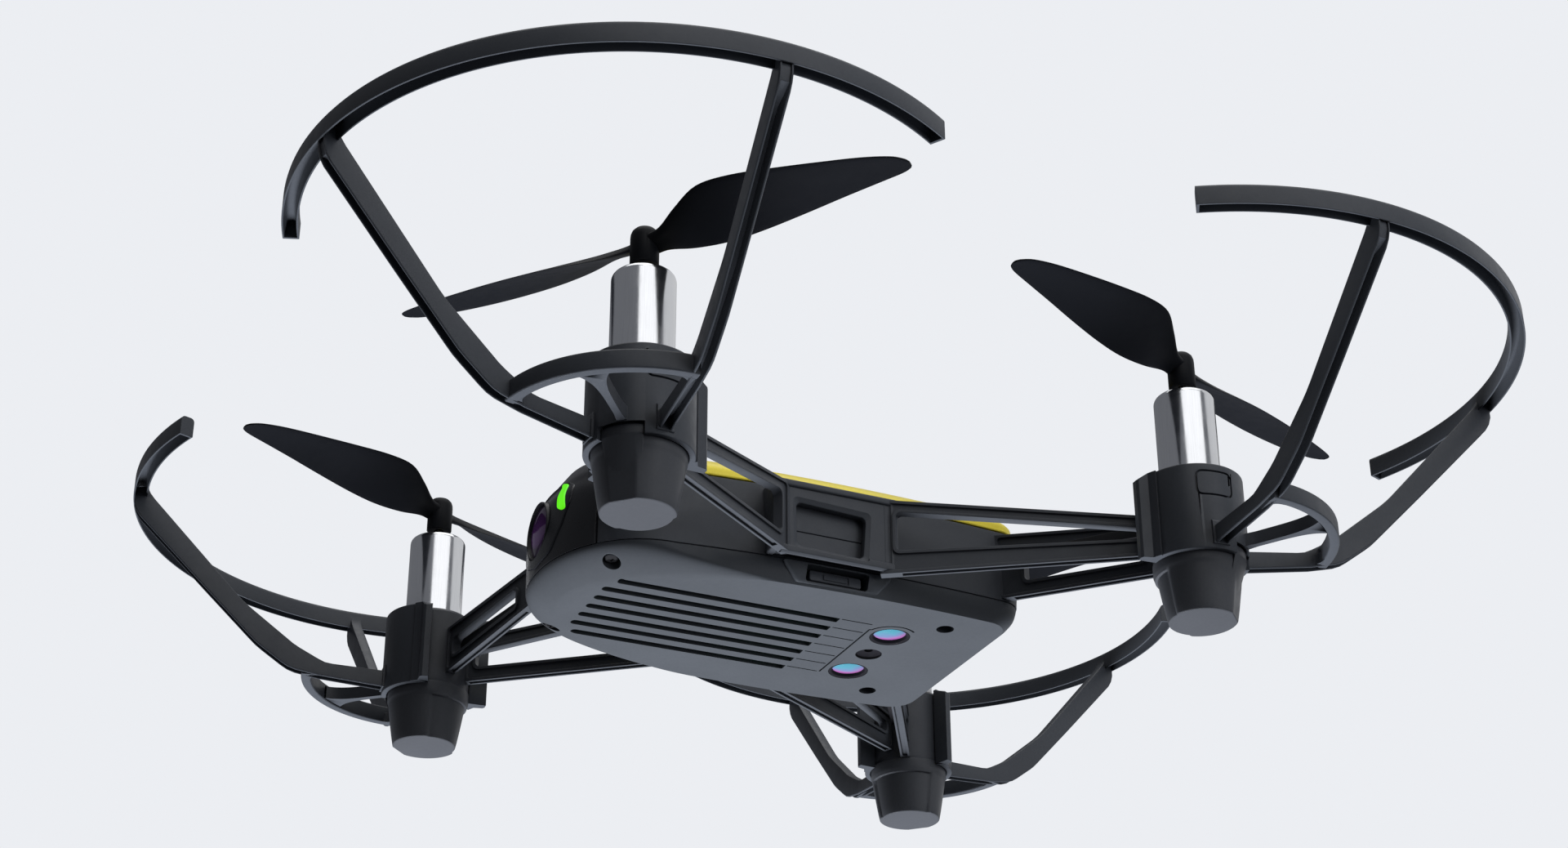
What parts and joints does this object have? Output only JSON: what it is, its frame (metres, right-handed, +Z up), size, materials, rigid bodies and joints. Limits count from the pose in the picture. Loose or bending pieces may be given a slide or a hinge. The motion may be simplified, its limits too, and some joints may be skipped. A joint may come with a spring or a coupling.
{
  "type": "mini palm drone",
  "caption": "Palm-sized camera drone: hull on slotted plate arms, coreless motors, two-blade propellers, clip-on propeller guards, soft feet and a battery that slides out of the tail.",
  "frame": {"origin": "on the floor plane under the feet, midway between the four motor axes", "axes": "+Z up along the motor axes, -Y towards the nose, +X towards the drone's left side, which carries the power button"},
  "size_m": [0.179, 0.1728, 0.041],
  "materials": {
    "charcoal_plastic": "fine-grained moulded charcoal plastic, satin on its worn edges",
    "guard_plastic": "flexible moulded dark grey plastic, satin",
    "fascia_plastic": "near-black plastic, semi-gloss",
    "yellow_plastic": "yellow painted plastic, semi-gloss",
    "foot_rubber": "soft dark grey, with a paler sole",
    "motor_steel": "bright drawn steel can",
    "shaft_steel": "turned steel",
    "propeller_plastic": "thin dark nylon, satin",
    "lens_glass": "dark coated glass with a violet reflection",
    "coated_glass": "coated glass that shifts from cyan to violet",
    "led_green": "milky light pipe, lit green",
    "battery_wrap": "plastic-cased lithium cell",
    "circuit_board": "green solder mask",
    "shield_metal": "tinned sheet",
    "lead_jacket": "thin two-core cable jacket",
    "copper": "flexible copper foil"
  },
  "bodies": {
    "airframe_body": {"aerial_left": "copper", "aerial_right": "copper", "airframe": "charcoal_plastic", "battery_contacts": "copper", "belly_lens_left": "coated_glass", "belly_lens_right": "coated_glass", "belly_screw_front_left": "shaft_steel", "belly_screw_front_right": "shaft_steel", "belly_screw_rear_left": "shaft_steel", "belly_screw_rear_right": "shaft_steel", "camera_barrel": "fascia_plastic", "camera_lens": "lens_glass", "camera_module": "fascia_plastic", "charging_port": "shield_metal", "front_fascia": "fascia_plastic", "landing_foot_front_left": "foot_rubber", "landing_foot_front_right": "foot_rubber", "landing_foot_rear_left": "foot_rubber", "landing_foot_rear_right": "foot_rubber", "lower_shell": "charcoal_plastic", "main_board": "circuit_board", "motor_can_front_left": "motor_steel", "motor_can_front_right": "motor_steel", "motor_can_rear_left": "motor_steel", "motor_can_rear_right": "motor_steel", "motor_end_cap_front_left": "fascia_plastic", "motor_end_cap_front_right": "fascia_plastic", "motor_end_cap_rear_left": "fascia_plastic", "motor_end_cap_rear_right": "fascia_plastic", "motor_lead_front_left": "lead_jacket", "motor_lead_front_right": "lead_jacket", "motor_lead_rear_left": "lead_jacket", "motor_lead_rear_right": "lead_jacket", "power_board": "circuit_board", "power_switch": "shield_metal", "prop_guard_front_left": "guard_plastic", "prop_guard_front_right": "guard_plastic", "prop_guard_rear_left": "guard_plastic", "prop_guard_rear_right": "guard_plastic", "range_sensor": "lens_glass", "sensor_board": "circuit_board", "shield_can": "shield_metal", "status_light": "led_green", "top_cover": "yellow_plastic"},
    "rotor_front_left": {"motor_rotor_front_left": "shaft_steel", "propeller_front_left": "propeller_plastic"},
    "rotor_rear_left": {"motor_rotor_rear_left": "shaft_steel", "propeller_rear_left": "propeller_plastic"},
    "rotor_front_right": {"motor_rotor_front_right": "shaft_steel", "propeller_front_right": "propeller_plastic"},
    "rotor_rear_right": {"motor_rotor_rear_right": "shaft_steel", "propeller_rear_right": "propeller_plastic"},
    "power_button_body": {"power_button": "charcoal_plastic"},
    "battery_body": {"battery": "battery_wrap"}
  },
  "joints": [
    {"name": "propeller_spin_front_left", "type": "hinge", "parent": "airframe_body", "child": "rotor_front_left", "pos_m": [0.0432, -0.0403, 0.038], "axis": [0, 0, 1], "continuous": true},
    {"name": "propeller_spin_rear_left", "type": "hinge", "parent": "airframe_body", "child": "rotor_rear_left", "pos_m": [0.0432, 0.0403, 0.038], "axis": [0, 0, 1], "continuous": true},
    {"name": "propeller_spin_front_right", "type": "hinge", "parent": "airframe_body", "child": "rotor_front_right", "pos_m": [-0.0432, -0.0403, 0.038], "axis": [0, 0, 1], "continuous": true},
    {"name": "propeller_spin_rear_right", "type": "hinge", "parent": "airframe_body", "child": "rotor_rear_right", "pos_m": [-0.0432, 0.0403, 0.038], "axis": [0, 0, 1], "continuous": true},
    {"name": "power_button_press", "type": "slide", "parent": "airframe_body", "child": "power_button_body", "axis": [-1, 0, 0], "range_m": [0, 0.0004]},
    {"name": "battery_slide", "type": "slide", "parent": "airframe_body", "child": "battery_body", "axis": [0, 1, 0], "range_m": [0, 0.045]}
  ]
}
